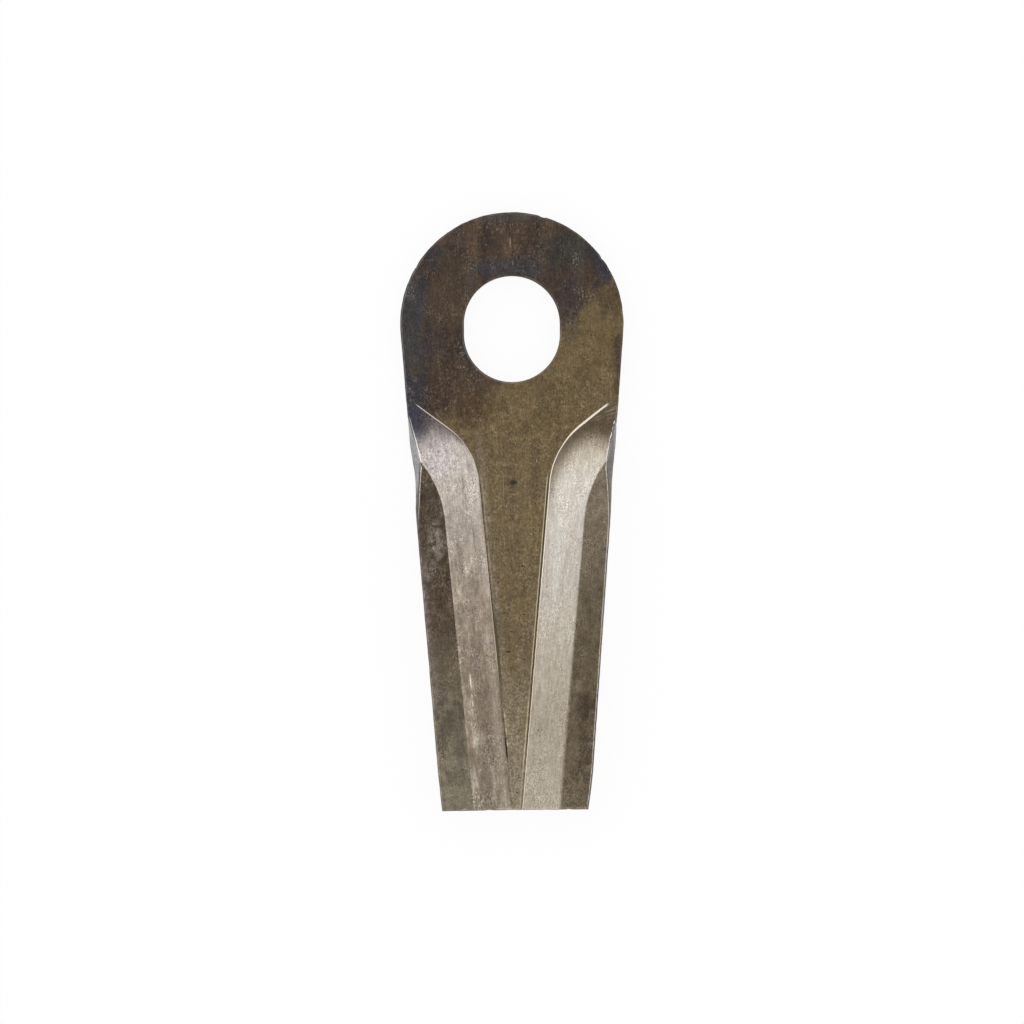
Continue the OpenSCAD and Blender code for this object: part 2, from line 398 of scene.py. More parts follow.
def head_ring(line, z, low):
    """Rings from the head's outline to the slot. line is the shared row 0, left to right."""
    first, last = line[-1], line[0]
    tangent = HEAD_R * math.sin(SIDE_ANG)
    outline = [(side_x(a), a) for a in steps(SHOULDER_A, tangent, SIDE_N)]
    for k in range(1, ARC_N):
        ang = -SIDE_ANG + (math.pi + 2 * SIDE_ANG) * k / ARC_N
        outline.append((HEAD_R * math.cos(ang), -HEAD_R * math.sin(ang)))
    outline += [(-side_x(a), a) for a in steps(tangent, SHOULDER_A, SIDE_N)[:-1]]
    outline.insert(SIDE_N + ARC_N - 1, (-HEAD_R * math.cos(SIDE_ANG), tangent))
    rim = [first] + [add(x, a, z, under=low) for x, a in outline] + [last]
    web = [k for k in line if k not in (first, last)]
    loop = rim + web
    spokes = []
    for k in loop:
        p = np.array([verts[k][0], -verts[k][1]])
        q = slot_point(*p)
        length = float(np.linalg.norm(p - q))
        u = (q - p) / length
        spoke = [k]
        for d in [*np.linspace(RING_GAP, length - RING_GAP, RING_N - 1), length]:
            x, a = p + d * u
            spoke.append(add(x, a, z, under=low))
        spokes.append(spoke)
    return rim, spokes


def skin(rows, spokes, flipped):
    """Faces between the rows of the body and between the spokes of the head."""
    for top, bottom in zip(rows, rows[1:]):
        for k in range(len(top) - 1):
            f = (top[k], bottom[k], bottom[k + 1], top[k + 1])
            quad(*(f[::-1] if flipped else f))
    for m, spoke in enumerate(spokes):
        after = spokes[(m + 1) % len(spokes)]
        for q in range(len(spoke) - 1):
            f = (spoke[q], after[q], after[q + 1], spoke[q + 1])
            quad(*(f[::-1] if flipped else f))


def outer_loop(rim, rows):
    """Vertex indices all round the plate: head, left side, tip, right side."""
    left = [r[0] for r in rows[1:]]
    right = [r[-1] for r in rows[1:]]
    return rim + left + rows[-1][1:-1] + right[::-1]


top_rows = body_rows(top_columns, PLATE_T, 0.0)
top_rim, top_spokes = head_ring(list(dict.fromkeys(top_rows[0])), PLATE_T, 0.0)
skin(top_rows, top_spokes, False)
low_rows = body_rows(low_columns, 0.0, 1.0)
low_rim, low_spokes = head_ring(list(dict.fromkeys(low_rows[0])), 0.0, 1.0)
skin(low_rows, low_spokes, True)

# Worn outline, rounded rims and walls


def loop_normals(loop, inward):
    """Directions out of the material along a loop, in plan."""
    p = np.array([verts[k][:2] for k in loop])
    t = np.roll(p, -1, 0) - np.roll(p, 1, 0)
    n = np.stack([t[:, 1], -t[:, 0]], 1)
    n /= np.maximum(TINY, np.linalg.norm(n, axis=1))[:, None]
    return -n if inward else n


def nibble(x, y, low):
    """How far wear has eaten into the edge at a point of the outline."""
    slice_at = LOW_SLICE if low else TOP_SLICE
    d = FRET * noise.noise(Vector((x * FRET_PACE, y * FRET_PACE, slice_at)))
    d += SWAY * noise.noise(Vector((x * SWAY_PACE, y * SWAY_PACE, SWAY_SLICE)))
    for nx, na, depth, width in NICKS:
        r2 = ((x - nx) ** 2 + (y + na) ** 2) / (0.5 * width) ** 2
        d += depth * (NICK_LOW if low else 1.0) * math.exp(-r2)
    return d


# the rim mark where a rim starts on the face
RIM_MARK = 0.25


def rim_point(p, n, z, r, ang, **face):
    """A vertex of the rim of the edge at p and z; r is below 0 for a lower rim."""
    c, s = math.cos(math.radians(ang)), math.sin(math.radians(ang))
    x, y = p - abs(r) * (1 - s) * n
    return add(x, -y, z - r * (1 - c), rim=RIM_MARK + (1 - RIM_MARK) * ang / 90, **face)


def wall(top, low, top_r, low_r, inward, worn):
    """Rounded upper rim, wall and rounded lower rim between two matching loops."""
    n_top, n_low = loop_normals(top, inward), loop_normals(low, inward)
    columns = []
    for k in range(len(top)):
        (xt, yt, zt), (xl, yl, zl) = verts[top[k]], verts[low[k]]
        rt, rl = top_r[k], low_r[k]
        room = RIM_WALL * max(WALL_LEAST, zt - zl)
        rt, rl = min(rt, room), min(rl, room)
        et = nibble(xt, yt, False) if worn else HOLE_WEAR
        el = nibble(xl, yl, True) if worn else HOLE_WEAR
        pt = np.array([xt, yt]) - et * n_top[k]
        pl = np.array([xl, yl]) - el * n_low[k]
        column = [top[k]]
        face = {m: marks[m][top[k]] for m in ("flute", "crease", "ridge")}
        column += [rim_point(pt, n_top[k], zt, rt, ang, **face) for ang in RIM_STEPS]
        for share in WALL_STEPS:
            z0, z1 = zt - rt, zl + rl
            x, y = pt + (pl - pt) * share
            column.append(add(x, -y, z0 + (z1 - z0) * share, rim=1.0, wall=1.0, **face))
        column += [rim_point(pl, n_low[k], zl, -rl, ang, under=1.0) for ang in RIM_STEPS[::-1]]
        column.append(low[k])
        verts[top[k]][0], verts[top[k]][1] = pt - rt * n_top[k]
        verts[low[k]][0], verts[low[k]][1] = pl - rl * n_low[k]
        marks["rim"][top[k]] = marks["rim"][low[k]] = RIM_MARK
        columns.append(column)
    for k, column in enumerate(columns):
        after = columns[(k + 1) % len(columns)]
        for q in range(len(column) - 1):
            f = (column[q], column[q + 1], after[q + 1], after[q])
            quad(*(f[::-1] if inward else f))


def rim_radii(rim, rows, radius, right_radius, start, share):
    """Rim radius at each place of the outer loop, small where a lip or wing runs to a point."""
    right, left = [], []
    for i in range(1, len(rows)):
        for out, side, most in ((left, 1, radius), (right, -1, right_radius)):
            line = rows[i][::side]
            columns = (0, COLS - 1 - COL_B, COLS - 1 - COL_C)
            edge, ridge, crease = (np.array(verts[line[k]][:2]) for k in columns)
            if i > start:
                room = edge_gap(share * abs(edge[0] - ridge[0]))
            else:
                most = radius * min(1.0, LIP_RIM + LIP_GROWTH * (start - i))
                room = edge_gap(float(np.linalg.norm(edge - crease)))
            out.append(min(most, RIM_FILL * room))
    tip = [radius] * (len(rows[-1]) - 2)
    return [radius] * len(rim) + left + tip + right[::-1]


outer_top, outer_low = outer_loop(top_rim, top_rows), outer_loop(low_rim, low_rows)
top_radii = rim_radii(top_rim, top_rows, EDGE_R, WORN_EDGE_R, WING_ROW, 1.0)
low_radii = rim_radii(low_rim, low_rows, LOW_R, LOW_R, LIP_ROW, BEVEL_SHARE)
wall(outer_top, outer_low, top_radii, low_radii, False, True)
hole_top = [s[-1] for s in top_spokes]
hole_low = [s[-1] for s in low_spokes]
hole_radii = [HOLE_EDGE_R] * len(hole_top)
wall(hole_top, hole_low, hole_radii, hole_radii, True, False)

# Press shift, skewed tip, dimple and a faint waviness

# the web is level to within this
SLACK = 0.01

for k, (x, y, z) in enumerate(verts):
    half = max(1.0, side_x(min(REACH, max(0.0, -y))))
    inside = max(0.0, 1 - (abs(x) / half) ** PRESS_POWER)
    run = smooth((-y - SHOULDER_A) / PRESS_RUN)
    verts[k][0] = x + PRESS_SHIFT * inside * run
    verts[k][1] = y + TIP_SKEW * (x / TIP_X) * smooth((-y - SKEW_A) / SKEW_RUN)
    if marks["under"][k] == 0 and marks["wall"][k] == 0 and marks["rim"][k] == 0:
        r = math.hypot(x, y + DIMPLE_A) / DIMPLE_R
        if z < PLATE_T + SLACK:
            verts[k][2] -= DIMPLE_DEPTH * max(0.0, 1 - r * r)
        verts[k][2] += WAVE * noise.noise(Vector((x * WAVE_X, y * WAVE_Y, WAVE_SLICE)))

# the material also needs to know where it is
marks |= {"x": [v[0] for v in verts], "a": [-v[1] for v in verts], "z": [v[2] for v in verts]}

mesh = bpy.data.meshes.new("blade_plate")
mesh.from_pydata([Vector(v) * MM for v in verts], [], faces)
mesh.validate()
for m, values in marks.items():
    layer = mesh.attributes.new(m, "FLOAT", "POINT")
    layer.data.foreach_set("value", np.array(values, np.float32))
mesh.polygons.foreach_set("use_smooth", [True] * len(mesh.polygons))
mesh.update()


def placed(name, data):
    ob = bpy.data.objects.new(name, data)
    bpy.context.scene.collection.objects.link(ob)
    return ob


blade = placed("blade_plate", mesh)

# Material

# most of a noise lies between these
NOISE_LO, NOISE_HI = 0.3, 0.7


def rgb(r, g, b):
    """A colour given as it looks on screen, 0 to 255, in linear light."""

    def lin(c):
        c = c / 255
        return c / 12.92 if c <= 0.04045 else ((c + 0.055) / 1.055) ** 2.4

    return (lin(r), lin(g), lin(b), 1.0)


class Graph:
    """Short names for the shader nodes used below.

    A node is made after those that feed it and nothing is clamped: the renderer takes the nodes
    in that order, and in another one the shader can outgrow its stack.
    """

    def __init__(self, owner):
        owner.use_nodes = True
        self.tree = owner.node_tree
        self.tree.nodes.clear()

    def put(self, kind, *values, **props):
        n = self.new(kind)
        for k, v in props.items():
            setattr(n, k, v)
        for socket, v in zip(n.inputs, values):
            self.feed(socket, v)
        return n.outputs[0]

    def new(self, kind):
        return self.tree.nodes.new("ShaderNode" + kind)

    def feed(self, socket, v):
        if isinstance(v, bpy.types.NodeSocket):
            self.tree.links.new(v, socket)
        else:
            socket.default_value = v

    def math(self, op, *values):
        return self.put("Math", *values, operation=op)

    def add(self, v, w):
        return self.math("ADD", v, w)

    def less(self, v, w):
        return self.math("SUBTRACT", v, w)

    def times(self, *values):
        return reduce(lambda v, w: self.math("MULTIPLY", v, w), values)

    def most(self, *values):
        return reduce(lambda v, w: self.math("MAXIMUM", v, w), values)

    def plus(self, v, w, share):
        return self.math("MULTIPLY_ADD", w, share, v)

    def flip(self, v):
        return self.less(1.0, v)

    def step(self, v, lo, hi, to_lo=0.0, to_hi=1.0):
        """From one value to another with soft ends, level beyond them."""
        kind = {"interpolation_type": "SMOOTHSTEP", "clamp": False}
        return self.put("MapRange", v, lo, hi, to_lo, to_hi, **kind)

    def line(self, v, lo, hi, to_lo=0.0, to_hi=1.0):
        """From one value to another in a straight line that goes on beyond them."""
        return self.put("MapRange", v, lo, hi, to_lo, to_hi, clamp=False)

    def band(self, v, lo, hi, soft):
        """1 between lo and hi, with soft ends."""
        return self.times(self.step(v, lo - soft, lo + soft), self.step(v, hi + soft, hi - soft))

    def mix(self, t, a, b):
        n = self.new("Mix")
        n.data_type = "RGBA"
        # inputs 6 and 7 and output 2 are the ones for colours
        for k, v in ((0, t), (6, a), (7, b)):
            self.feed(n.inputs[k], v)
        return n.outputs[2]

    def tint(self, colour, tone, *shares):
        """A screen tone laid over a colour, by the product of the shares."""
        return self.mix(self.times(*shares), colour, rgb(*tone))

    def named(self, kind, **values):
        """A node with its inputs set by name."""
        n = self.new(kind)
        for name, v in values.items():
            self.feed(n.inputs[name], v)
        return n.outputs[0]

    def noise(self, vec, scale, detail=3.0, rough=0.55, warp=0.0):
        shape = {"Detail": detail, "Roughness": rough, "Distortion": warp}
        return self.named("TexNoise", Vector=vec, Scale=scale, **shape)

    def scaled(self, vec, x=1, y=1, z=1, turn=0.0, shift=(0, 0, 0)):
        return self.named("Mapping", Vector=vec, Location=shift, Rotation=(0, 0, turn), Scale=(x, y, z))

    def vary(self, colour, v, amount):
        """Brighten or darken a colour by a share either way, following a noise."""
        value = self.step(v, NOISE_LO, NOISE_HI, 1 - amount, 1 + amount)
        return self.named("HueSaturation", Value=value, Color=colour)

    def ramp(self, v, lo, hi, stops):
        """Colours along v; stops are (value, colour)."""
        share = self.line(v, lo, hi)
        n = self.new("ValToRGB")
        self.feed(n.inputs[0], share)
        band = n.color_ramp.elements
        for k, (at, colour) in enumerate(stops):
            e = band[k] if k < 2 else band.new(1.0)
            e.position, e.color = (at - lo) / (hi - lo), colour
        return n.outputs[0]

    def mark(self, name):
        n = self.new("Attribute")
        n.attribute_name = name
        return n.outputs["Fac"]

    def end(self, kind, shader):
        self.tree.links.new(shader, self.new(kind).inputs[0])


# Tones and stains of the photographed piece, at plan points in mm

SLATE, NAVY, PLUM = rgb(60, 58, 60), rgb(55, 55, 63), rgb(62, 54, 53)
# x, a, half width, half length, amount, tone
HEAD_STAINS = [
    (-22.0, 0.0, 3.4, 16.0, 0.95, SLATE),
    (-19.4, -8.0, 1.2, 5.0, 0.55, NAVY),
    (-22.4, 16.0, 3.8, 7.5, 0.9, NAVY),
    (-17.6, 3.5, 2.2, 5.0, 0.7, PLUM),
    (-16.7, -14.2, 2.4, 3.2, 0.7, SLATE),
    (-12.6, -18.4, 4.4, 1.8, 0.6, rgb(84, 67, 61)),
    (-12.3, -12.0, 3.2, 3.6, 0.6, rgb(79, 65, 49)),
    (-14.0, -4.6, 3.8, 5.4, 0.8, rgb(70, 58, 46)),
    (-8.8, -8.4, 1.5, 2.8, 0.6, rgb(70, 60, 58)),
    (0.5, -12.0, 7.5, 2.6, 0.85, SLATE),
    (-6.0, -12.2, 2.6, 2.0, 0.7, rgb(62, 58, 61)),
    (13.0, -16.0, 6.5, 4.6, 0.85, rgb(57, 56, 53)),
    (20.2, -12.3, 1.9, 4.2, 0.9, NAVY),
    (12.2, -4.5, 2.6, 6.0, 0.9, PLUM),
    (22.9, 9.0, 1.5, 8.0, 0.8, rgb(70, 58, 47)),
    (21.8, -5.4, 2.6, 3.4, 0.75, rgb(80, 65, 49)),
    (-9.5, 18.0, 3.4, 3.6, 0.8, rgb(72, 54, 38)),
    (-13.6, 13.0, 3.0, 5.0, 0.6, rgb(70, 54, 42)),
    (0.0, -23.2, 12.0, 1.4, 0.6, rgb(74, 70, 67)),
]
# x, a, half width, half length, amount
HEAD_SCRAPES = [
    (-21.4, -7.0, 1.0, 2.0, 0.7),
    (-21.6, 12.0, 1.0, 3.0, 0.6),
    (-11.0, 7.5, 1.2, 4.0, 0.8),
    (-8.0, 11.5, 3.0, 1.4, 0.8),
    (14.0, -13.8, 1.8, 1.6, 0.9),
    (15.8, -6.4, 2.6, 1.8, 0.9),
    (12.6, -1.0, 1.2, 2.2, 0.8),
    (15.0, 14.0, 1.2, 1.6, 0.8),
    (-3.0, -21.0, 5.0, 1.6, 0.6),
]
WING_STAINS = [
    (-12.4, 84.5, 1.6, 3.6, 0.6),
    (-11.9, 91.0, 1.3, 4.0, 0.6),
    (-11.4, 97.0, 1.1, 2.4, 0.5),
    (14.8, 83.0, 2.0, 4.6, 0.75),
    (15.2, 90.0, 1.8, 3.2, 0.7),
]
WING_SCUFFS = [
    (-16.8, 46.5, 1.7, 4.0, 0.65),
    (-18.0, 52.5, 1.7, 2.4, 0.5),
]
DARK_SPOTS = [
    (PRESS_SHIFT * 0.6, DIMPLE_A + 0.1, 0.8, 0.5, 0.85),
    (1.9, 52.0, 0.34, 0.2, 0.9),
    (2.0, 62.4, 0.34, 0.2, 0.9),
    (-1.3, 70.4, 0.5, 0.2, 0.8),
    (-3.4, 55.5, 0.2, 0.3, 0.7),
    (4.9, 87.3, 0.18, 0.16, 0.7),
    (5.7, 87.2, 0.2, 0.16, 0.6),
    (5.2, 88.5, 0.16, 0.14, 0.6),
    (0.6, 97.5, 0.2, 0.2, 0.7),
    (0.3, 100.7, 0.2, 0.2, 0.7),
]
# x, start, end, amount
LONG_SCRATCHES = [
    (-0.2, -18.4, -16.6, 0.6),
    (0.3, -13.4, -12.6, 0.3),
    (-2.1, 32.6, 38.0, 0.3),
    (5.1, 29.0, 29.8, 0.6),
    (-4.1, 46.6, 48.2, 0.4),
    (-2.0, 46.8, 48.0, 0.3),
]


def tones(*stops):
    """Stops of a ramp along the blade; each is the distance from the pin seat and the tone."""
    return [(at, rgb(*tone)) for at, *tone in stops]


WEB_TONES = tones((15, 106, 89, 63), (40, 112, 96, 69), (70, 115, 100, 76), (98, 140, 129, 109))
WING_LEFT_TONES = tones((34, 83, 70, 57), (64, 82, 68, 51), (80, 116, 105, 87), (100, 128, 119, 101))
WING_RIGHT_TONES = tones((38, 130, 118, 100), (60, 104, 93, 74), (82, 104, 91, 71), (100, 108, 96, 77))
# flank tones: rubbed metal brightened by a painted reflection, darker towards the tip partly from wear and
# partly as painted shade
FLUTE_LEFT_TONES = tones(
    (22, 152, 144, 148), (29, 205, 196, 187), (42, 176, 165, 154), (50, 164, 152, 138),
    (62, 151, 137, 121), (82, 133, 119, 102), (102, 137, 125, 107),
)
FLUTE_RIGHT_TONES = tones(
    (24, 173, 159, 139), (34, 206, 200, 189), (48, 186, 178, 168), (66, 179, 170, 156),
    (84, 159, 149, 132), (102, 164, 155, 139),
)
# painted shade of the right run-out, lighter down the blade as the slope steepens
RUN_OUT_TONES = tones(
    (17, 96, 83, 65), (22, 88, 75, 59), (27, 110, 96, 78), (32, 134, 121, 103),
    (39, 158, 148, 132),
)
# slant of the brushed marks at the right shoulder, and of scratches
BRUSH_ANGLE, SCRATCH_ANGLE = math.radians(-20), -0.6
# a stain fades from its core to its fringe, both in half sizes
CORE, FRINGE = 0.4, 1.45
# share of metal in the shader, range of roughness, strength and depth of the bumps
METAL, ROUGH_LO, ROUGH_HI = 0.75, 0.38, 0.54
BUMP_STRENGTH, BUMP_DEPTH = 0.4, 0.07 * MM


def patch(g, s, x, a, wide, tall, amount):
    """A soft-edged oval stain with a ragged outline."""
    dx = g.plus(-x / wide, s.x, 1 / wide)
    da = g.plus(-a / tall, s.a, 1 / tall)
    r = g.math("SQRT", g.plus(g.times(dx, dx), da, da))
    return g.step(g.add(r, s.wobble), FRINGE, CORE, 0, amount)


def patches(g, s, spots):
    """The strongest of several stains."""
    return g.most(*(patch(g, s, *spot) for spot in spots))


def places(g):
    """Where a point of the surface lies, in mm, with its marks and the half it is on."""
    s = SimpleNamespace()
    coord = g.new("TexCoord").outputs["Object"]
    s.mm = g.scaled(coord, 1 / MM, 1 / MM, 1 / MM)
    for m in marks:
        setattr(s, m, g.mark(m))
    # steps and bands along the blade
    s.along, s.zone = partial(g.step, s.a), partial(g.band, s.a)
    s.right = g.step(s.x, -0.4, 0.4)
    s.left = g.flip(s.right)
    s.over = g.flip(s.under)
    wide = g.math("ABSOLUTE", s.x)
    # distance in from the straight side edge
    s.inset = g.less(HEAD_R / math.cos(SIDE_ANG), g.plus(wide, s.a, math.tan(SIDE_ANG)))
    # distance out from the straight part of the crease
    s.fold = g.less(g.plus(wide, s.a, math.tan(TAPER)), fold_x(0))
    return s


def leaning(g, s, x, y, shift, detail):
    """A noise stretched along the folds, which lean the other way on each half."""
    left, right = (
        g.noise(g.scaled(g.scaled(s.mm, turn=turn), x, y, shift=shift), 1.0, detail, 0.6)
        for turn in (-TAPER, TAPER)
    )
    return g.plus(g.times(left, s.left), right, s.right)


def add_noises(g, s):
    """Noises that the parts of the surface share."""
    mm = s.mm
    s.cloud = g.noise(g.scaled(mm, shift=(40, 7, 3)), 0.16, 5, 0.6)
    s.stain = g.noise(g.scaled(mm, 0.3, 0.1, shift=(3, 21, 0)), 1.0, 5, 0.62)
    s.roll = g.noise(g.scaled(mm, 0.8, 0.05, shift=(7, 2, 0)), 1.0, 4, 0.6)
    s.moss = g.noise(g.scaled(mm, 1, 0.8, shift=(1, 12, 0)), 0.36, 6, 0.7)
    s.mottle = g.noise(mm, 0.75, 5, 0.66)
    s.grain = g.noise(g.scaled(mm, 1.1, 0.85), 2.0, 4, 0.65)
    s.grit = g.noise(g.scaled(mm, 1.2, 0.7), 4.4, 2, 0.6)
    s.fiber = leaning(g, s, 3.2, 0.4, (0, 0, 0), 3)
    s.streak = leaning(g, s, 0.9, 0.05, (0, 0, 3), 4)
    s.sheen = leaning(g, s, 0.42, 0.11, (0, 5, 6), 5)
    s.wobble = g.line(g.noise(g.scaled(mm, 1, 0.6), 0.3, 6, 0.68), 0.2, 0.8, -0.75, 0.75)
    s.ragged = g.line(s.cloud, 0.25, 0.75, -3.0, 3.0)
    scuff = g.noise(g.scaled(mm, 1, 0.6, shift=(9, 2, 0)), 0.33, 5, 0.62)
    s.scuffed = g.step(scuff, 0.44, 0.64)
    # fine curved hairs where one noise crosses its middle, broken up by another
    hair = g.noise(g.scaled(mm, 1.5, 0.5, shift=(2, 31, 0)), 1.0, 3, 0.6, 0.6)
    hair = g.step(g.math("ABSOLUTE", g.less(hair, 0.5)), 0.03, 0.008)
    s.hair = g.times(hair, g.step(s.grain, 0.44, 0.58))


def textured(g, s, colour, soft, fine, hairs, rubbed):
    """Mottling, grain and lengthwise fibres, with more grit where the skin is scuffed."""
    for v, amount in ((s.mottle, soft), (s.grain, fine), (s.grit, fine), (s.fiber, hairs)):
        colour = g.vary(colour, v, amount)
    return g.mix(s.scuffed, colour, g.vary(colour, s.grit, rubbed))


def head_skin(g, s):
    """Rolled skin of the head: brown scale in stripes, heat stains, olive lower down."""
    brown = g.mix(g.step(s.stain, 0.36, 0.66), rgb(62, 51, 44), rgb(84, 68, 51))
    brown = g.tint(brown, (64, 51, 47), g.step(s.roll, 0.5, 0.64, 0, 0.45))
    brown = g.tint(brown, (82, 62, 52), g.step(s.moss, 0.5, 0.66, 0, 0.5))
    olive = g.mix(g.step(s.cloud, 0.34, 0.66), rgb(102, 86, 58), rgb(114, 97, 69))
    olive = g.tint(olive, (90, 72, 49), g.step(s.stain, 0.5, 0.7, 0, 0.45))
    # the olive starts along a slanting line right of the hole and below it
    slant = g.plus(g.times(g.less(s.x, 11.5), 0.7), s.a, 0.72)
    beside = g.times(g.step(g.plus(slant, s.ragged, 0.6), -0.9, 1.7), g.step(s.x, 5, 11))
    below = g.plus(g.less(s.a, 14.0), g.add(s.x, 4.0), 0.6)
    below = g.step(g.add(below, s.ragged), -5.0, 5.0)
    plain = g.mix(g.most(beside, below), brown, olive)
    skin = plain
    for *spot, tone in HEAD_STAINS:
        skin = g.mix(patch(g, s, *spot), skin, tone)
    return g.mix(g.times(s.under, 0.7), skin, plain)


def web_skin(g, s, head):
    """The flat between the flutes, which takes over from the head below the hole."""
    web = g.ramp(s.a, 15, 105, WEB_TONES)
    web = g.tint(web, (122, 104, 66), g.step(s.cloud, 0.5, 0.7, 0, 0.5))
    web = g.vary(web, s.streak, 0.14)
    # greyer beside the left crease, browner along the middle
    greyed = g.times(s.left, s.over, g.band(s.fold, -2.0, -0.2, 0.5), s.zone(24, 80, 5), 0.4)
    web = g.tint(web, (128, 117, 103), greyed)
    browner = g.times(s.over, g.step(s.fold, -1.6, -3.2), s.zone(52, 76, 6), 0.4)
    web = g.tint(web, (104, 86, 56), browner)
    skin = g.mix(g.step(g.add(s.a, s.ragged), 20, 27), head, web)
    skin = g.vary(skin, s.stain, 0.14)
    lower = s.along(8, 18)
    skin = g.tint(skin, (140, 126, 102), g.step(s.mottle, 0.54, 0.7, 0, 0.4), lower)
    skin = textured(g, s, skin, 0.18, 0.15, 0.13, 0.34)
    skin = g.mix(lower, skin, g.vary(skin, s.grain, 0.13))
    return g.tint(skin, (150, 138, 116), s.hair, g.line(s.scuffed, 0, 1, 0.08, 0.5))


def wing_skin(g, s):
    """Raised wings: brown and fibrous on the left, blotched towards the tip."""
    tone = g.mix(s.right, g.ramp(s.a, 30, 105, WING_LEFT_TONES), g.ramp(s.a, 30, 105, WING_RIGHT_TONES))
    fibrous = g.times(s.left, s.along(76, 58))
    blot = g.noise(g.scaled(s.mm, 0.4, 0.2, shift=(5, 60, 0)), 1.0, 7, 0.72, 0.4)
    dark = g.mix(s.right, rgb(84, 78, 64), rgb(64, 53, 40))
    dark = g.tint(dark, (62, 51, 40), fibrous)
    tone = g.mix(g.times(fibrous, g.step(blot, 0.46, 0.62, 0, 0.9)), tone, dark)
    plain = g.flip(fibrous)
    stained = g.math("MINIMUM", g.add(s.zone(80, 97, 5), 0.35), 1.0)
    tone = g.mix(g.times(plain, stained, g.step(s.moss, 0.44, 0.6, 0, 0.8)), tone, dark)
    spots = patches(g, s, WING_STAINS)
    tone = g.mix(g.times(spots, g.step(s.mottle, 0.34, 0.6, 0.45, 1)), tone, dark)
    tone = g.tint(tone, (134, 124, 107), plain, g.step(s.moss, 0.44, 0.3, 0, 0.5))
    tone = g.tint(tone, (116, 106, 94), fibrous, g.step(s.moss, 0.5, 0.64, 0, 0.6))
    tone = g.mix(plain, tone, g.vary(tone, s.streak, 0.1))
    scuffs = patches(g, s, WING_SCUFFS)
    tone = g.tint(tone, (138, 128, 118), scuffs, g.step(s.mottle, 0.38, 0.56, 0.15, 1))
    strip = g.times(g.step(s.inset, 1.7, 0.6), s.left, s.zone(50, 78, 8), 0.6)
    tone = g.tint(tone, (116, 106, 102), strip)
    rough = textured(g, s, tone, 0.24, 0.18, 0.24, 0.48)
    tone = g.mix(fibrous, textured(g, s, tone, 0.18, 0.13, 0.12, 0.34), rough)
    return g.tint(tone, (158, 147, 130), s.hair, g.line(s.scuffed, 0, 1, 0.1, 0.55))


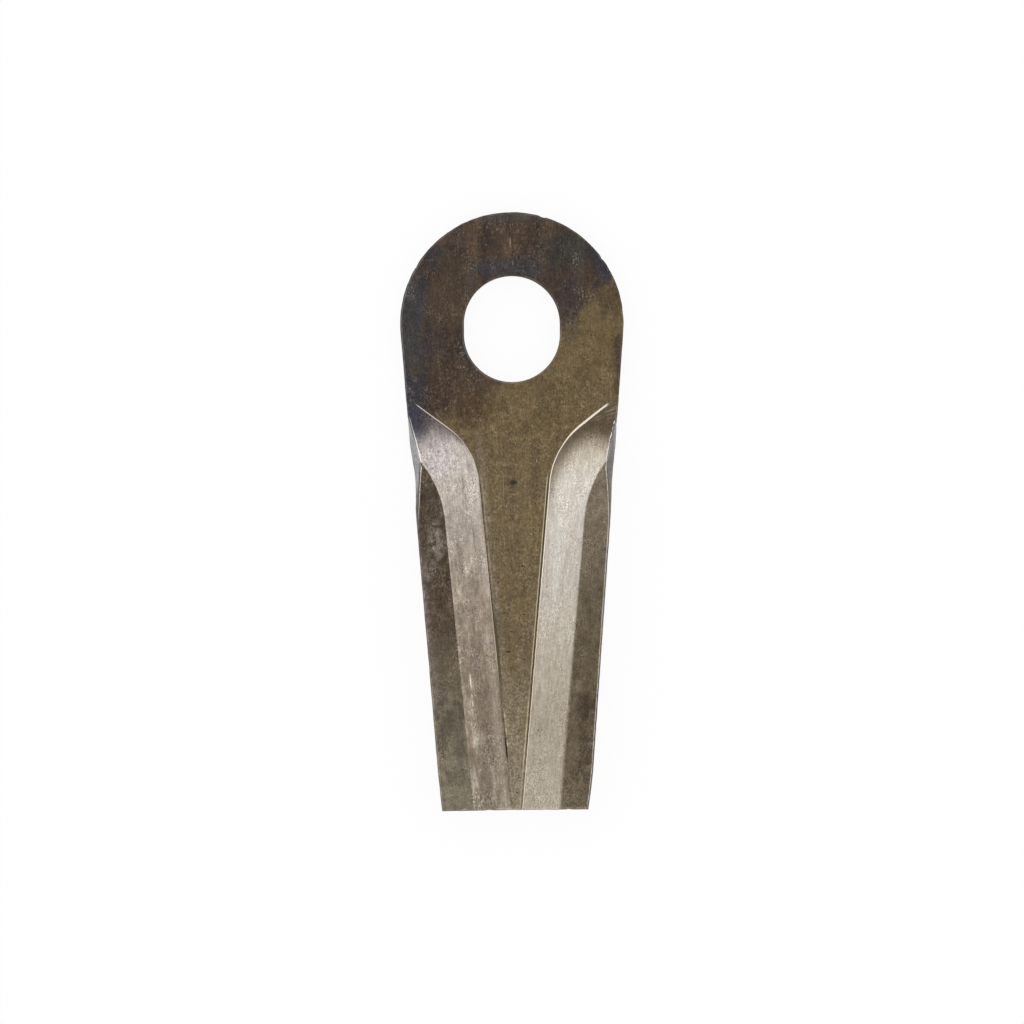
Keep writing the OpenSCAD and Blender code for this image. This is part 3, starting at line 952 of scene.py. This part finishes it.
def flute_skin(g, s):
    """Sloped flanks, bright partly from rubbing and partly from a painted reflection; where they run out
    they are left in painted shade, close to the head's dark skin.
    """
    rubbed_and_lit = g.mix(s.right, g.ramp(s.a, 20, 105, FLUTE_LEFT_TONES), g.ramp(s.a, 20, 105, FLUTE_RIGHT_TONES))
    warm = g.mix(s.right, rgb(210, 196, 178), rgb(208, 200, 182))
    rubbed_and_lit = g.mix(g.times(g.step(s.streak, 0.5, 0.68, 0, 0.35), s.along(80, 40)), rubbed_and_lit, warm)
    dull = g.mix(s.right, rgb(122, 109, 99), rgb(158, 150, 138))
    pale = g.mix(s.right, rgb(200, 189, 176), rgb(208, 202, 190))
    rubbed_and_lit = g.mix(g.times(g.step(s.sheen, 0.5, 0.32), g.line(s.right, 0, 1, 0.55, 0.2)), rubbed_and_lit, dull)
    rubbed_and_lit = g.mix(g.times(g.step(s.sheen, 0.52, 0.7), g.line(s.right, 0, 1, 0.65, 0.15)), rubbed_and_lit, pale)
    clouded = g.vary(rubbed_and_lit, s.moss, 0.13)
    rubbed_and_lit = g.mix(s.right, g.vary(clouded, s.cloud, 0.1), rubbed_and_lit)
    # pinkish near the left shoulder
    pink = g.times(s.left, patch(g, s, -16.5, 29.0, 4.0, 5.0, 0.5))
    rubbed_and_lit = g.mix(pink, rubbed_and_lit, g.mix(g.step(s.grain, 0.42, 0.6), rgb(170, 156, 162), rgb(210, 198, 202)))
    # lower left: dull along the middle, scuffed along the ridge, paler beside the crease
    low = g.times(s.left, s.along(58, 76))
    rubbed_and_lit = g.tint(rubbed_and_lit, (114, 100, 86), low, g.band(s.crease, 3.2, 5.0, 1.2), 0.5)
    rubbed_and_lit = g.tint(rubbed_and_lit, (160, 149, 132), low, g.band(s.crease, 0.6, 2.2, 0.8), 0.65)
    speckled = g.times(low, g.step(s.crease, 5.0, 6.6), s.scuffed, g.step(s.grain, 0.46, 0.6, 0, 0.6))
    rubbed_and_lit = g.tint(rubbed_and_lit, (186, 175, 160), speckled)
    scrape = g.most(s.zone(75.4, 78.2, 0.5), g.times(s.zone(79.4, 82.4, 0.6), 0.8))
    scrape = g.times(scrape, s.left, g.band(s.crease, 6.05, 6.3, 0.1), g.step(s.grain, 0.36, 0.52, 0.35, 1))
    rubbed_and_lit = g.tint(rubbed_and_lit, (224, 214, 197), scrape)
    # a cool band in the upper right flute
    cool = g.times(s.right, g.band(s.crease, 2.2, 3.8, 1.0), s.zone(40, 58, 5), 0.5)
    rubbed_and_lit = g.tint(rubbed_and_lit, (210, 209, 204), cool)
    # how far the painted light reaches up into the run-outs; beside the crease they stay in painted shade
    lead = g.add(s.a, g.step(s.x, -20.5, -16.5, 0, 1.9))
    lit_left = g.step(g.plus(lead, s.ragged, 0.25), 20.7, 28.6)
    lit_left = g.times(lit_left, g.most(g.step(s.crease, -0.5, 1.3), s.along(23.5, 27)))
    lead = g.add(s.a, g.step(s.x, 20.5, 15.5, 0, 1.2))
    lit_right = g.step(g.plus(lead, s.ragged, 0.25), 22.5, 28.8)
    near = g.math("DIVIDE", s.crease, s.along(24, 40, 4.9, 1.7))
    lit_right = g.times(lit_right, g.most(g.step(near, 0.0, 1.1), s.along(34, 44)))
    s.lit = g.add(g.times(s.left, lit_left), g.times(s.right, lit_right))
    # painted shade where the run-outs catch no light, in tones close to the head's skin, navy at the left
    # edge
    shade = g.mix(g.step(s.x, -16.0, -20.5), rgb(98, 86, 78), rgb(64, 61, 72))
    shade = g.mix(s.right, shade, g.ramp(s.a, 15, 45, RUN_OUT_TONES))
    skin = g.mix(s.lit, shade, rubbed_and_lit)
    # brushed marks beside the right crease
    turned = g.scaled(s.mm, turn=BRUSH_ANGLE)
    brush = g.step(g.noise(g.scaled(turned, 0.22, 2.6), 1.0, 3, 0.6), 0.46, 0.62)
    brush = g.times(s.right, patch(g, s, 18.4, 18.6, 4.0, 2.0, 0.8), brush)
    skin = g.tint(skin, (146, 133, 112), brush)
    smooth_right = textured(g, s, skin, 0.05, 0.11, 0.14, 0.34)
    skin = g.mix(s.right, textured(g, s, skin, 0.12, 0.14, 0.15, 0.42), smooth_right)
    # hair scratches on the flanks show bright only where the painted light falls
    return g.tint(skin, (226, 218, 206), s.hair, s.scuffed, s.lit, 0.4)


def wear_marks(g, s, colour, on_wing):
    """Light flecks and scuffs in patches, short scratches, dark pits."""
    fleck = g.step(g.noise(g.scaled(s.mm, 1.2, 0.6), 2.6, 2, 0.55), 0.64, 0.74, 0, 0.8)
    fleck = g.times(fleck, g.line(s.scuffed, 0, 1, 0.1, 1), s.along(8, 24, 0.35, 1))
    upright = g.scaled(s.mm, 4.4, 0.4)
    slanted = g.scaled(g.scaled(s.mm, turn=SCRATCH_ANGLE), 4.4, 0.5)
    scratch = g.most(*(g.step(g.noise(v, 1.0, 2, 0.5), 0.69, 0.77) for v in (upright, slanted)))
    scratch = g.times(scratch, g.line(s.scuffed, 0, 1, 0.25, 1), 0.8)
    scraped = g.most(s.hair, g.step(s.grain, 0.63, 0.72, 0, 0.6))
    scraped = g.times(scraped, s.over, patches(g, s, HEAD_SCRAPES))
    # flecks on the flanks are paler where the painted light falls on them
    light = g.mix(g.times(s.flute, g.step(s.lit, 0.3, 1)), rgb(160, 150, 134), rgb(228, 221, 211))
    # on dark skin the flecks are only a shade lighter than it
    soft_light = g.tint(colour, (150, 140, 126), 0.5)
    light = g.mix(s.along(18, 26, 0.5, 0), light, soft_light)
    colour = g.mix(g.most(fleck, scratch, scraped), colour, light)
    drift = g.times(s.wobble, 0.12)
    for x, start, end, amount in LONG_SCRATCHES:
        line = g.band(g.add(s.x, drift), x - 0.07, x + 0.07, 0.06)
        line = g.times(line, s.zone(start, end, 0.3), s.over, amount)
        colour = g.tint(colour, (190, 180, 160), line)
    s.pits = g.noise(g.scaled(s.mm, shift=(11, 5, 0)), 1.5, 2, 0.45)
    s.pits = g.times(g.step(s.pits, 0.69, 0.76, 0, 0.8), g.line(g.most(s.flute, on_wing), 0, 1, 1, 0.3))
    colour = g.tint(colour, (48, 40, 32), s.pits)
    return g.tint(colour, (46, 37, 29), s.over, patches(g, s, DARK_SPOTS))


def crease_lines(g, s, colour):
    """The scored crease: a painted highlight line at the shoulder, and below it a dark line along the
    groove with painted highlights on both its lips.
    """
    gap = g.step(g.noise(g.scaled(s.mm, 0.6, 0.35), 1.0, 3, 0.6), 0.32, 0.5)
    speck = g.step(g.noise(g.scaled(s.mm, 1.0, 0.9, shift=(4, 4, 0)), 1.3, 3, 0.6), 0.42, 0.58)
    wander = g.line(g.noise(g.scaled(s.mm, 0.9, 0.9), 1.0, 4, 0.6), 0.25, 0.75, -0.05, 0.05)
    across = g.add(s.crease, g.times(wander, s.along(40, 60)))
    # lines that break off here and there, and in short dots
    broken = g.step(gap, 0, 1, 0.6, 1)
    dotted = g.step(speck, 0, 1, 0.5, 1)

    def stripe(lo, hi, side, *shares):
        return g.times(g.band(across, lo, hi, 0.05), side, *shares)

    # the right score is broadest close to its start
    from_start = g.math("ABSOLUTE", g.less(s.a, 20.6))
    broad = g.band(g.math("DIVIDE", across, g.step(from_start, 0.8, 4.5, 0.24, 0.1)), -1, 0.7, 0.25)
    # painted highlights along the score and its slope-side lip
    bright = g.most(
        stripe(-0.08, 0.06, s.left, s.along(26, 22)),
        stripe(-0.03, 0.05, s.left, s.along(31, 28, 0, 0.8)),
        stripe(0.04, 0.2, s.left, s.zone(48, 74, 6), g.step(gap, 0, 1, 0.2, 0.5)),
        g.times(broad, s.right, s.along(27, 24)),
        stripe(-0.02, 0.16, s.right),
    )
    under_line = g.most(
        stripe(0.16, 0.3, s.left, s.zone(22.5, 28.5, 1.2), 0.5),
        stripe(0.24, 0.4, s.right, s.zone(23, 33, 2), 0.45),
    )
    # paler lines on the web side of the groove: painted highlights on its other lip
    pale = g.most(
        stripe(-0.64, -0.46, s.right, s.along(31, 34), s.along(80, 72), broken),
        stripe(-0.74, -0.44, s.right, s.along(76, 84), s.along(98, 92, 0.4, 1), dotted),
        stripe(-0.6, -0.42, s.left, s.along(31, 35), s.along(66, 50), gap, 0.35),
        stripe(-0.56, -0.26, s.left, s.zone(82.5, 91, 1.0), speck, 0.85),
    )
    olive = g.most(
        stripe(-0.6, 0.0, s.left, s.zone(62, 82, 4), s.along(72, 80, 0.9, 0.5)),
        stripe(-1.1, -0.9, s.right, s.along(80, 86), 0.6),
    )
    # the left groove deepens downwards, breaks off, comes back for a short way and fades
    upper = g.times(s.along(30, 36), s.along(69, 62), s.along(46, 58, 0.65, 1))
    lower = g.most(s.zone(88.6, 93.4, 1.0), s.along(101, 94, 0.1, 0.4))
    faded = s.along(96, 90, 0.45, 1)
    dark = g.most(
        stripe(-0.17, 0.03, s.left, upper, g.step(gap, 0, 1, 0.5, 0.95)),
        stripe(-0.24, 0.08, s.left, s.along(81, 84), lower, broken),
        stripe(-0.34, -0.12, s.right, s.along(31, 36), faded, g.step(gap, 0, 1, 0.6, 0.9)),
    )
    groove = g.mix(s.right, rgb(26, 21, 16), rgb(54, 45, 33))
    # tone of the painted highlights on the lips
    lip = g.mix(s.along(52, 64), rgb(248, 238, 224), rgb(228, 213, 192))
    lip = g.mix(s.right, rgb(243, 235, 224), lip)
    for lines, tone in (
        (olive, rgb(82, 69, 50)),
        (pale, rgb(196, 182, 154)),
        (under_line, rgb(84, 72, 60)),
        (dark, groove),
        (bright, lip),
    ):
        colour = g.mix(g.times(lines, s.score), colour, tone)
    # the left ridge's top is rubbed bright where it turns, with a painted highlight along it
    crest = g.times(g.band(s.ridge, -0.4, -0.05, 0.1), s.left, s.along(50, 36, 0.25, 1))
    return g.tint(colour, (214, 203, 184), crest, g.step(s.mottle, 0.4, 0.6, 0.2, 0.8))


def rims_and_walls(g, s, colour):
    """Sheared walls with a painted reflection of the floor at the shoulders, and rims with a bright line,
    partly wear and partly painted highlight, and painted shade on the turned edge outside it.
    """
    shear = g.noise(g.scaled(s.mm, 2.4, 2.4, 0.3), 1.0, 4, 0.6)
    cloud = g.noise(g.scaled(s.mm, 0.35, 0.35, 0.7, shift=(3, 8, 0)), 1.0, 5, 0.62)
    tone = g.mix(g.step(shear, 0.34, 0.66), rgb(92, 88, 85), rgb(116, 112, 108))
    tone = g.tint(tone, (80, 70, 60), g.step(cloud, 0.46, 0.66, 0, 0.6))
    # painted reflection of the white floor on the left shoulder's wall, on the right one only low down
    floor_reflection = g.mix(g.step(shear, 0.34, 0.66), rgb(136, 138, 139), rgb(160, 161, 160))
    reflects_floor_right = g.times(s.right, s.zone(22, 28, 1.5), g.step(s.z, 4.2, 2.2, 0, 0.7))
    reflects_floor = g.most(g.times(s.left, s.zone(19.5, 35.5, 1.5)), reflects_floor_right)
    tone = g.mix(reflects_floor, tone, floor_reflection)
    colour = g.mix(g.step(s.wall, 0.0, 0.7), colour, tone)
    chipped = g.step(g.noise(s.mm, 1.1, 3, 0.6), 0.38, 0.54)
    shoulder = s.zone(19.8, 31.5, 0.8)
    # how strong the rim's thin bright line is, partly edge wear and partly a painted highlight: shoulders,
    # right wing, left of the head and the hole, a little elsewhere
    drawn = g.times(s.along(19, 22), s.along(46, 36))
    wing = g.times(s.right, s.along(18, 30), 0.95)
    whole = s.along(103.8, 103.0, 0.3, 1)
    around = g.less(g.times(s.a, 0.8), s.x)
    head = g.times(s.along(16, 14), g.step(around, 2, 12), 0.6)
    worn = g.most(g.times(g.most(drawn, wing), whole), head, g.step(cloud, 0.44, 0.62, 0.05, 0.5))
    worn = g.times(worn, g.step(chipped, 0, 1, 0.55, 1))
    # painted shade on the steep part of the rim, where it turns down into the wall
    turned = g.times(g.step(s.rim, 0.5, 0.75), g.step(s.wall, 0.4, 0.0), s.along(19, 24))
    colour = g.tint(colour, (76, 71, 68), turned, g.line(s.right, 0, 1, 0.3, 0.85))
    # the thin bright line on the rim, partly edge wear and partly painted highlight
    thin = g.band(s.rim, 0.21, 0.4, 0.07)
    # a painted near-white highlight along the shoulders' rims: the left one grows towards the wing, the
    # right one starts as a row of dots
    dots = g.step(g.noise(s.mm, 1.3, 2, 0.6), 0.44, 0.56, 0.1, 1)
    glint_left = g.times(s.left, s.along(20, 27, 0.35, 0.95), g.step(chipped, 0, 1, 0.6, 1))
    glint_right = g.times(s.right, g.most(dots, s.along(26, 29, 0, 0.75)))
    wide = g.times(g.band(s.rim, 0.2, 0.46, 0.07), g.most(glint_left, glint_right))
    wear_glint_tone = g.mix(s.along(15, 20), rgb(136, 137, 134), rgb(208, 204, 198))
    colour = g.mix(g.times(thin, worn, g.flip(shoulder)), colour, wear_glint_tone)
    inner = g.times(g.band(s.rim, 0.03, 0.12, 0.03), shoulder, s.along(27, 22, 0, 0.7))
    colour = g.tint(colour, (58, 54, 54), inner)
    return g.tint(colour, (252, 252, 250), wide, shoulder)


def relief(g, s):
    """Fine unevenness of the skin, with the pits sunk in."""
    height = g.plus(g.times(s.mottle, 0.4), s.grain, 0.3)
    height = g.plus(height, s.fiber, 0.3)
    height = g.plus(height, s.pits, -0.8)
    return g.named("Bump", Strength=BUMP_STRENGTH, Distance=BUMP_DEPTH, Height=height)


def steel():
    """The whole surface: skins of head, web, flutes and wings, then wear, lines, rims and walls."""
    mat = bpy.data.materials.new("pressed_steel")
    g = Graph(mat)
    s = places(g)
    add_noises(g, s)
    flat = web_skin(g, s, head_skin(g, s))
    colour = g.mix(g.step(s.flute, 0.0, 0.5), flat, flute_skin(g, s))
    # the left ridge is crisp, the right one worn soft towards the tip
    soft = g.plus(0.07, s.right, s.along(45, 92, 0.12, 0.6))
    on_wing = g.step(g.math("DIVIDE", s.ridge, soft), -1.2, 0.8)
    colour = g.mix(on_wing, colour, wing_skin(g, s))
    colour = wear_marks(g, s, colour, on_wing)
    colour = crease_lines(g, s, colour)
    colour = rims_and_walls(g, s, colour)
    rough = g.line(s.mottle, 0.25, 0.75, ROUGH_LO, ROUGH_HI)
    rough = g.plus(rough, g.times(s.flute, s.lit), -0.05)
    rough = g.plus(rough, s.pits, 0.2)
    look = {"Base Color": colour, "Metallic": METAL, "Roughness": rough, "Normal": relief(g, s)}
    g.end("OutputMaterial", g.named("BsdfPrincipled", **look))
    return mat


mesh.materials.append(steel())
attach(blade, "root")
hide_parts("blade")

# Floor

# half size of the sheet, drop below the blade, white, share that glows
FLOOR_HALF, FLOOR_DROP, FLOOR_WHITE, FLOOR_GLOW = 2.0, 0.00002, 0.93, 0.93


def white_table():
    """White paper that glows for the camera and in reflections, so that its shadows stay faint."""
    mat = bpy.data.materials.new("white_table")
    g = Graph(mat)
    path = g.new("LightPath").outputs
    seen = g.most(path["Is Camera Ray"], path["Is Glossy Ray"], path["Is Transmission Ray"])
    paper = g.put("BsdfDiffuse", (FLOOR_WHITE, FLOOR_WHITE, FLOOR_WHITE, 1))
    glow = g.put("Emission", (1, 1, 1, 1), 1.0)
    mixed = g.put("MixShader", g.times(seen, FLOOR_GLOW), paper, glow)
    g.end("OutputMaterial", mixed)
    return mat


corners = ((-1, -1), (1, -1), (1, 1), (-1, 1))
corners = [(x * FLOOR_HALF, y * FLOOR_HALF, -FLOOR_DROP) for x, y in corners]
floor_mesh = bpy.data.meshes.new("floor")
floor_mesh.from_pydata(corners, [], [(0, 1, 2, 3)])
floor_mesh.materials.append(white_table())
floor = placed("floor", floor_mesh)

# Light

# brightness overhead and of the walls, steepness at which each starts
OVERHEAD, WALLS, STEEP, SLANTED = 0.8, 1.12, 0.99, 0.75
# how much brighter the tent is on the left, and behind the head
LEFT_GAIN, HEAD_GAIN = 0.15, 0.06


def tent():
    """A light tent: bright walls, brighter on the left, with a darker opening overhead."""
    world = bpy.data.worlds.new("tent")
    g = Graph(world)
    way = g.new("TexCoord").outputs["Generated"]
    split = g.new("SeparateXYZ")
    g.feed(split.inputs[0], way)
    x, y, z = split.outputs
    level = g.step(z, STEEP, SLANTED, OVERHEAD, WALLS)
    level = g.less(level, g.times(x, LEFT_GAIN))
    level = g.add(level, g.times(y, HEAD_GAIN))
    g.end("OutputWorld", g.put("Background", (1, 1, 1, 1), level))
    return world


bpy.context.scene.world = tent()

# Camera, straight above as in the photo

# photo size and scale in pixels, lens, sensor and middle of the view in mm, roll in degrees
PHOTO_PX, PX_PER_MM = 1024, 4.656
LENS, SENSOR = 400.0, 36.0
VIEW_X, VIEW_Y, VIEW_ROLL = -0.3, -40.4, -0.478
# nearest and furthest distance that is drawn, in metres
CLIP_NEAR, CLIP_FAR = 0.01, 20
cam_data = bpy.data.cameras.new("camera")
cam_data.lens, cam_data.sensor_width = LENS, SENSOR
cam = placed("camera", cam_data)
distance = PHOTO_PX / PX_PER_MM * MM * LENS / SENSOR
cam.location = (VIEW_X * MM, VIEW_Y * MM, PLATE_T * MM + distance)
cam.rotation_euler = (0, 0, math.radians(VIEW_ROLL))
cam_data.clip_start, cam_data.clip_end = CLIP_NEAR, CLIP_FAR
bpy.context.scene.camera = cam
bpy.context.scene.view_settings.view_transform = "Standard"
